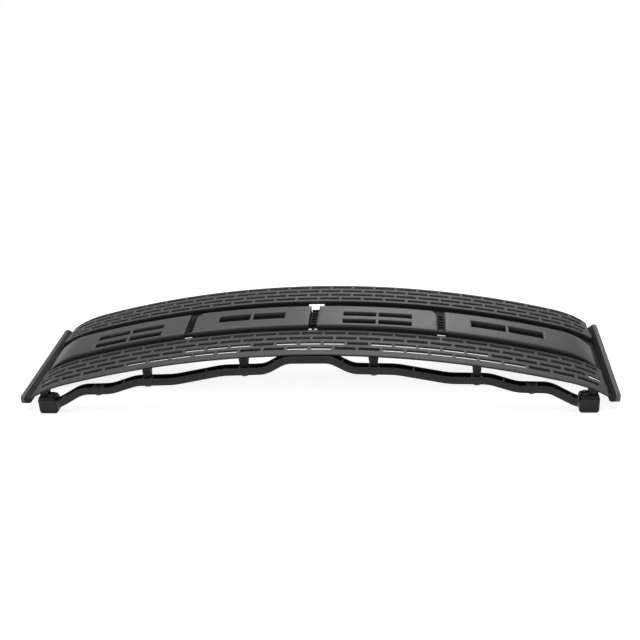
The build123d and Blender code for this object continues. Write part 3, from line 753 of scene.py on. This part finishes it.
def rail():
    """The channel section, the lands and ribs across it, and the bosses."""
    y0, y1 = RAIL_Y
    floor_offset = RAIL_WALL - RAIL_HALF
    channel = [(y0, -RAIL_HALF), (y0, RAIL_HALF), (y0 + RAIL_WALL, RAIL_HALF), (y0 + RAIL_WALL, floor_offset),
               (y1 - RAIL_WALL, floor_offset), (y1 - RAIL_WALL, RAIL_HALF), (y1, RAIL_HALF), (y1, -RAIL_HALF)]
    inside = [(y0 + 2.4, floor_offset - 0.6), (y0 + 2.4, RAIL_HALF - 1.2), (y1 - 2.4, RAIL_HALF - 1.2),
              (y1 - 2.4, floor_offset - 0.6)]
    pieces = [along_rail(rounded(channel, 1.5), (-RAIL_END_X, RAIL_END_X))]
    pieces += [along_rail(rounded(inside, 0.6), (x - 10, x + 10)) for x in LAND_X]
    pieces += [along_rail(rounded(inside, 0.4), (x - 1.2, x + 1.2), 1.2) for x in RIB_X]
    boss_y, radius, height = BOSS
    for x in LAND_X:
        under = float(rail_middle(np.array([x]))[0][0]) - RAIL_HALF
        pieces.append(stud(x, boss_y, radius, (under - height, under + 2), 32))
    points, faces = joined(pieces)
    return mesh_object("wavy_rail", points * MM, faces)


gloss = Finish("gloss_black", Specular_IOR_Level=0.2)
rail_tone = gloss.blend(gloss.noise(12.0), grey(0.006), grey(0.010))
gloss.feed("Base Color", gloss.blend(gloss.edges(1.0), rail_tone, grey(0.16)))
gloss.feed("Roughness", 0.2 + 0.14 * gloss.noise(30.0))
gloss.bump(gloss.noise(90.0), 0.08, 0.0003)
item = rail()
item.data.materials.append(gloss.material)
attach(item, BODY)
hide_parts("lower_rail")


# ------------------------------------------------------------------ posts, end boxes and the carrier
# The carrier behind the pads, its ribbed strips, the posts, the end boxes, the corner feet and
# the top flange are plain black mouldings. Small ones get slightly softened edges.
def softened(node, width):
    """A welded copy of a carrier piece with its flat faces joined and its sharp edges rounded."""
    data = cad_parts[node].data.copy()
    shape = bmesh.new()
    shape.from_mesh(data)
    bmesh.ops.remove_doubles(shape, verts=shape.verts, dist=1e-6)
    bmesh.ops.dissolve_limit(shape, angle_limit=radians(1), verts=shape.verts, edges=shape.edges)
    shape.to_mesh(data)
    shape.free()
    data.materials.clear()
    data.polygons.foreach_set("use_smooth", [True] * len(data.polygons))
    item = bpy.data.objects.new(f"moulded_{node}", data)
    bpy.context.collection.objects.link(item)
    soft = item.modifiers.new("soft_edges", "BEVEL")
    soft.width = width * MM
    soft.segments = 2
    soft.limit_method = "ANGLE"
    soft.angle_limit = radians(50)
    soft.use_clamp_overlap = True
    soft.harden_normals = False
    return item


black = Finish("carrier_black", Specular_IOR_Level=0.15)
carrier_tone = black.blend(black.noise(20.0), grey(0.010), grey(0.017))
black.feed("Base Color", black.blend(black.edges(0.8), carrier_tone, grey(0.05)))
black.feed("Roughness", 0.5 + 0.2 * black.noise(400.0))
black.bump(black.noise(1200.0), 0.3, 0.00015)

box_gloss = Finish("gloss_black_box", Specular_IOR_Level=0.18)
box_tone = box_gloss.blend(box_gloss.noise(15.0), grey(0.004), grey(0.008))
box_gloss.feed("Base Color", box_gloss.blend(box_gloss.edges(1.0), box_tone, grey(0.12)))
box_gloss.feed("Roughness", 0.24 + 0.14 * box_gloss.noise(40.0))
box_gloss.bump(box_gloss.noise(120.0), 0.08, 0.0002)

steel = Finish("zinc_steel", Metallic=1.0)
steel.feed("Base Color", steel.blend(steel.noise(40.0), grey(0.38), grey(0.5)))
steel.feed("Roughness", 0.28 + 0.2 * steel.noise(300.0))

screw_black = Finish("black_zinc", Metallic=0.8)
screw_black.feed("Base Color", screw_black.blend(screw_black.noise(60.0), grey(0.04), grey(0.06)))
screw_black.feed("Roughness", 0.3 + 0.25 * screw_black.noise(300.0))

SOFT_EDGES = {"gap_bracket": 0.4, "lower_post": 0.5, "end_post": 0.5, "end_box_left": 0.6,
              "end_box_right": 0.6, "corner_bracket": 0.5}
STEEL_NODES = ("pad_push_nuts", "panel_clips", "flange_clip_nuts", "end_box_sleeve_left",
               "end_box_sleeve_right")
for name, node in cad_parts.items():
    if node.hide_render:
        continue
    finish, slot = black, "black_plastic"
    if name in ("end_box_left", "end_box_right"):
        finish, slot = box_gloss, "gloss_black_plastic"
    if name in STEEL_NODES:
        finish = steel
    if name in ("rail_screws", "blade_screws"):
        finish = screw_black
    width = next((value for start, value in SOFT_EDGES.items() if name.startswith(start)), None)
    if width is None:
        node.data.materials.clear()
        node.data.materials.append(finish.material)
        continue
    item = softened(name, width)
    item.data.materials.append(finish.material)
    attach(item, BODY)
    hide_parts(name)
